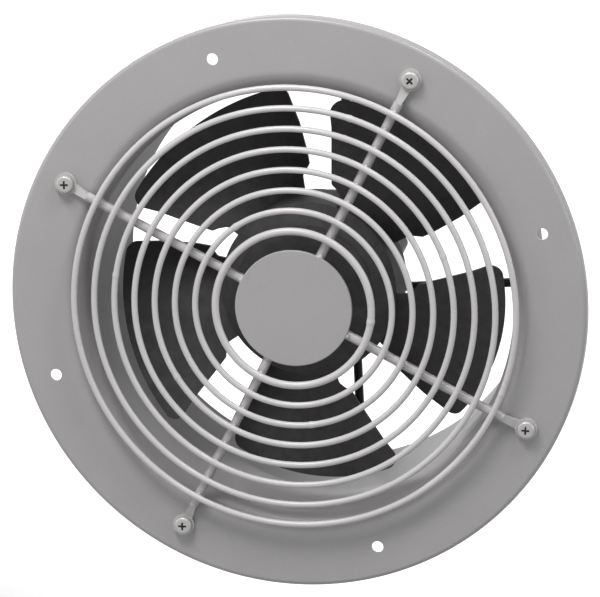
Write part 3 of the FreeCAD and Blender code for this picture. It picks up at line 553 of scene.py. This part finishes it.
def make_recess_painted_shade():
    """Painted shade: a dark cross down in each recess, standing in for the shadow there, with arms
    that taper.
    """
    head_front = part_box("guard_screws")[0][1]
    shapes = []
    for number in range(SPOKE_COUNT):
        middle = radial(spoke_angle(number)) * BOLT_R
        plan = []
        for arm in range(ARM_COUNT):
            turn = arm * QUARTER_TURN + math.radians(RECESS_ANGLE + DRIVEN[number])
            along, aside = radial(turn), radial(turn + QUARTER_TURN)
            shoulder = along * ARM_SHOULDER
            plan += [(along - aside) * ARM_CORNER, shoulder - aside * ARM_HALF,
                     along * ARM_TIP, shoulder + aside * ARM_HALF]
        top = middle + AXIS * (head_front + SHADE_TOP)
        deep = middle + AXIS * (head_front + SHADE_DEEP)
        shapes.append(prism([top + point for point in plan],
                            [deep + point * SHADE_TAPER for point in plan]))
    # Each dark cross is painted shade in its recess
    add_piece("screw_recess_painted_shade", *joined(shapes), "black_paint")


make_flange()
make_screws()
make_recess_painted_shade()

# Rod welds: zone of a rod's end, shift along the rod, radius and points of the ring, and the bead
ROD_END_ZONE = 2.5 * MM
ROD_WELD_SHIFT = 0.6 * MM
ROD_WELD_REACH = 3.5 * MM
ROD_WELD_STEPS = 40
ROD_BEAD, ROD_BEAD_WAVE = 1.35 * MM, 0.22 * MM
# Tube seam: shifts back and out from the tube's front edge, points and sides, and the bead
SEAM_BACK, SEAM_OUT = 0.4 * MM, 0.1 * MM
SEAM_STEPS, SEAM_SIDES = 576, 8
SEAM_BEAD, SEAM_BEAD_WAVE = 1.25 * MM, 0.18 * MM


def rod_bead(step):
    """Radius of a rod's bead, which swells and thins every four steps."""
    return ROD_BEAD + ROD_BEAD_WAVE * math.sin(step * QUARTER_TURN)


def seam_bead(step):
    """Radius of the seam's bead, which swells and thins every four steps."""
    return SEAM_BEAD + SEAM_BEAD_WAVE * math.cos(step * QUARTER_TURN)


def rod_end(points, pick):
    """The middle of a rod's end: max picks the end far from the fan's axis, min the near one."""
    edge = pick(math.hypot(point.x, point.z) for point in points)
    end = [point for point in points
           if abs(math.hypot(point.x, point.z) - edge) < ROD_END_ZONE]
    low = Vector([min(point[k] for point in end) for k in range(3)])
    high = Vector([max(point[k] for point in end) for k in range(3)])
    return (low + high) / 2


def make_rod_welds():
    """A bead round both ends of each motor support rod, at the tube and at the carrier."""
    at_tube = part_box("air_tube")[1][0] - PLATE - ROD_WELD_SHIFT
    at_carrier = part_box("motor_carrier")[1][0] + ROD_WELD_SHIFT
    shapes = []
    for number in range(ROD_COUNT):
        points = [vert.co for vert in NODES["motor_arm_%d" % (number + 1)].data.vertices]
        for reach, pick in ((at_tube, max), (at_carrier, min)):
            middle = rod_end(points, pick)
            out = Vector((middle.x, 0, middle.z)).normalized()
            place = out * reach + AXIS * middle.y
            line = circle_line(place, AXIS, out.cross(AXIS), ROD_WELD_REACH, ROD_WELD_STEPS)
            shapes.append(sweep(line, rod_bead, True))
    add_piece("rod_welds", *joined(shapes), "black_paint")


def make_tube_seam():
    """The weld that holds the tube to the bell."""
    low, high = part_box("air_tube")
    centre = AXIS * (low[1] + SEAM_BACK)
    line = circle_line(centre, radial(0), radial(QUARTER_TURN), high[0] + SEAM_OUT, SEAM_STEPS)
    add_piece("tube_seam", *sweep(line, seam_bead, True, SEAM_SIDES), "grey_paint")


make_rod_welds()
make_tube_seam()

# Lamps in the photograph's upright frame, aimed at the fan: name, place, size, watts and colour
WARM, COOL, PLAIN = (1.0, 0.985, 0.975), (0.98, 0.985, 1.0), (1, 1, 1)
LAMPS = (
    ("key", (-0.34, -0.72, 1.32), (0.65, 0.45), 19, WARM),
    ("left", (-1.10, -0.70, 0.50), (0.5, 0.5), 3, WARM),
    ("right", (1.30, -0.38, 0.30), (0.6, 0.6), 4.5, COOL),
    ("above", (0.66, -0.45, 1.28), (0.3, 0.3), 6.5, PLAIN),
    ("back", (-0.9, 1.3, 0.6), (0.9, 0.9), 17, PLAIN),
)
WHITE = (1, 1, 1, 1)
# White background as it is seen, and as it lights the fan
WORLD_SEEN, WORLD_LIT = 1.0, 0.31
# Floor: half width, height, colour, and how it glows from the fan's foot outward to full white
FLOOR_REACH, FLOOR_HEIGHT = 6.0, -0.42
FLOOR_COLOUR = (0.5, 0.5, 0.5, 1)
FADE_NEAR, FADE_FAR, GLOW_NEAR = 0.2, 0.9, 0.3


def make_lamp(name, place, size, power, colour):
    """A rectangular lamp that faces the fan."""
    data = bpy.data.lights.new(name, "AREA")
    data.shape = "RECTANGLE"
    data.size, data.size_y = size
    data.energy = power
    data.color = colour
    spot = photo_place(*place)
    aim = (photo_place(0, 0, 0) - spot).normalized()
    right = aim.cross(photo_direction(0, 0, 1)).normalized()
    stand(add_object(name, data), spot, right, right.cross(aim), -aim)


def seen_directly(n):
    """One for rays from the camera, reflections and see-through pieces, otherwise nought."""
    path = n.add("ShaderNodeLightPath")
    first = n.add("ShaderNodeMath", operation="MAXIMUM")
    second = n.add("ShaderNodeMath", operation="MAXIMUM")
    n.link(path, "Is Camera Ray", first, 0)
    n.link(path, "Is Glossy Ray", first, 1)
    n.link(first, "Value", second, 0)
    n.link(path, "Is Transmission Ray", second, 1)
    return second


def make_world():
    """A background that is white where it shows and weaker as a light."""
    world = bpy.data.worlds.new("world")
    scene.world = world
    world.use_nodes = True
    n = Nodes(world.node_tree)
    out = n.add("ShaderNodeOutputWorld")
    seen = n.add("ShaderNodeBackground", Color=WHITE, Strength=WORLD_SEEN)
    lit = n.add("ShaderNodeBackground", Color=WHITE, Strength=WORLD_LIT)
    mix = n.add("ShaderNodeMixShader")
    n.link(seen_directly(n), "Value", mix, 0)
    n.link(lit, "Background", mix, 1)
    n.link(seen, "Background", mix, 2)
    n.link(mix, "Shader", out, "Surface")


def floor_material():
    """A grey floor that takes the fan's shadow near it and fades to white farther off."""
    material = bpy.data.materials.new("floor")
    material.use_nodes = True
    n = Nodes(material.node_tree)
    out = n.add("ShaderNodeOutputMaterial")
    base = n.add("ShaderNodeBsdfDiffuse", Color=FLOOR_COLOUR)
    white = n.add("ShaderNodeEmission", Color=WHITE)
    place = n.add("ShaderNodeTexCoord")
    away = n.add("ShaderNodeVectorMath", operation="LENGTH")
    n.link(place, "Object", away, 0)
    fade = n.add("ShaderNodeMapRange", interpolation_type="SMOOTHSTEP", From_Min=FADE_NEAR,
                 From_Max=FADE_FAR, To_Min=GLOW_NEAR)
    n.link(away, "Value", fade, "Value")
    lift = n.add("ShaderNodeMath", operation="MULTIPLY")
    n.link(seen_directly(n), "Value", lift, 0)
    n.link(fade, "Result", lift, 1)
    n.link(lift, "Value", white, "Strength")
    total = n.add("ShaderNodeAddShader")
    n.link(base, "BSDF", total, 0)
    n.link(white, "Emission", total, 1)
    n.link(total, "Shader", out, "Surface")
    return material


def make_floor():
    """A wide floor below the fan."""
    mesh = bpy.data.meshes.new("floor")
    corners = [(x * FLOOR_REACH, y * FLOOR_REACH, 0)
               for x, y in ((-1, -1), (1, -1), (1, 1), (-1, 1))]
    mesh.from_pydata(corners, [], [(0, 1, 2, 3)])
    mesh.materials.append(floor_material())
    floor = add_object("floor", mesh)
    floor.location.z = FLOOR_HEIGHT


for lamp in LAMPS:
    make_lamp(*lamp)
make_world()
make_floor()
